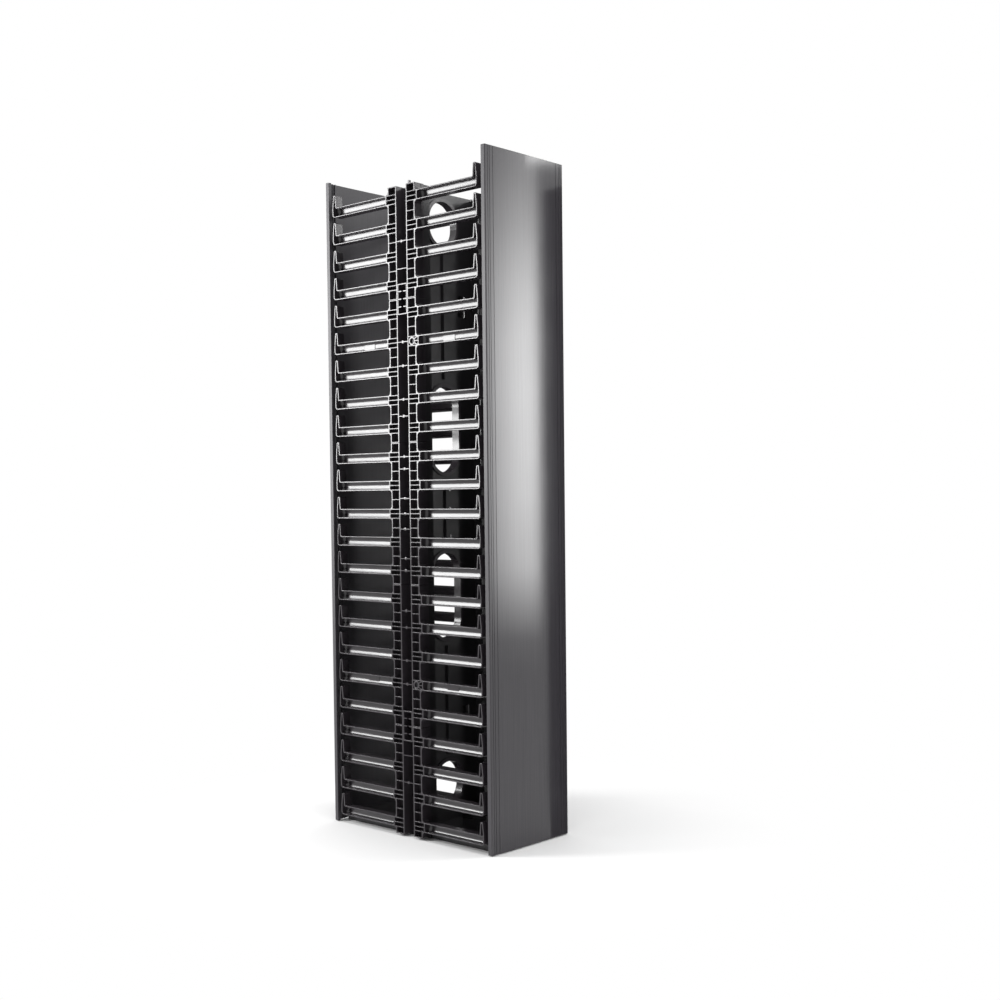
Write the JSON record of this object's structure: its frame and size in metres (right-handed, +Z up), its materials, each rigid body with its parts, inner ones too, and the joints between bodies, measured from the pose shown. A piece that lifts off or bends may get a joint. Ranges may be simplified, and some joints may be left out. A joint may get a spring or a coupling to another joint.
{
  "type": "vertical cable manager",
  "caption": "Free-standing vertical cable manager with a steel mid panel, moulded finger combs on both sides, and a hinged door over its front and its rear channel.",
  "frame": {"origin": "on the floor under the middle of the unit, at the bottom centre of its bounding box", "axes": "+Z up; X runs across the doors, from the left side (-X) to the right side (+X); Y runs from the front door (-Y) to the rear door (+Y)"},
  "size_m": [0.178, 0.356, 1.05],
  "materials": {
    "moulded_black": "fine moulded texture",
    "door_black": "satin extrusion",
    "painted_steel": "satin black powder coat",
    "plated_steel": "black zinc plate"
  },
  "bodies": {
    "frame": {"front_left_comb_1": "moulded_black", "front_left_comb_2": "moulded_black", "front_left_comb_3": "moulded_black", "front_left_comb_4": "moulded_black", "front_left_comb_5": "moulded_black", "front_right_comb_1": "moulded_black", "front_right_comb_2": "moulded_black", "front_right_comb_3": "moulded_black", "front_right_comb_4": "moulded_black", "front_right_comb_5": "moulded_black", "rear_left_comb_1": "moulded_black", "rear_left_comb_2": "moulded_black", "rear_left_comb_3": "moulded_black", "rear_left_comb_4": "moulded_black", "rear_left_comb_5": "moulded_black", "rear_right_comb_1": "moulded_black", "rear_right_comb_2": "moulded_black", "rear_right_comb_3": "moulded_black", "rear_right_comb_4": "moulded_black", "rear_right_comb_5": "moulded_black", "comb_screws": "plated_steel", "left_post": "painted_steel", "right_post": "painted_steel", "left_bridge_plates": "moulded_black", "right_bridge_plates": "moulded_black", "left_channel_ties": "moulded_black", "right_channel_ties": "moulded_black", "top_locating_studs": "moulded_black", "mid_panel": "painted_steel", "panel_stiffeners": "painted_steel", "pass_through_collars": "moulded_black", "panel_screws": "plated_steel", "base_tray": "painted_steel", "foot_brackets": "painted_steel", "base_screws": "plated_steel", "front_right_hinge_clips": "moulded_black", "front_left_hinge_clips": "moulded_black", "rear_left_hinge_clips": "moulded_black", "rear_right_hinge_clips": "moulded_black"},
    "front_door_body": {"front_door": "door_black", "front_door_plugs": "moulded_black"},
    "rear_door_body": {"rear_door": "door_black", "rear_door_plugs": "moulded_black"}
  },
  "joints": [
    {"name": "front_door_hinge", "type": "hinge", "parent": "frame", "child": "front_door_body", "pos_m": [0.08, -0.1718, 0.5], "axis": [0, 0, 1], "range_deg": [0, 110]},
    {"name": "rear_door_hinge", "type": "hinge", "parent": "frame", "child": "rear_door_body", "pos_m": [-0.08, 0.1718, 0.5], "axis": [0, 0, 1], "range_deg": [0, 110]}
  ]
}
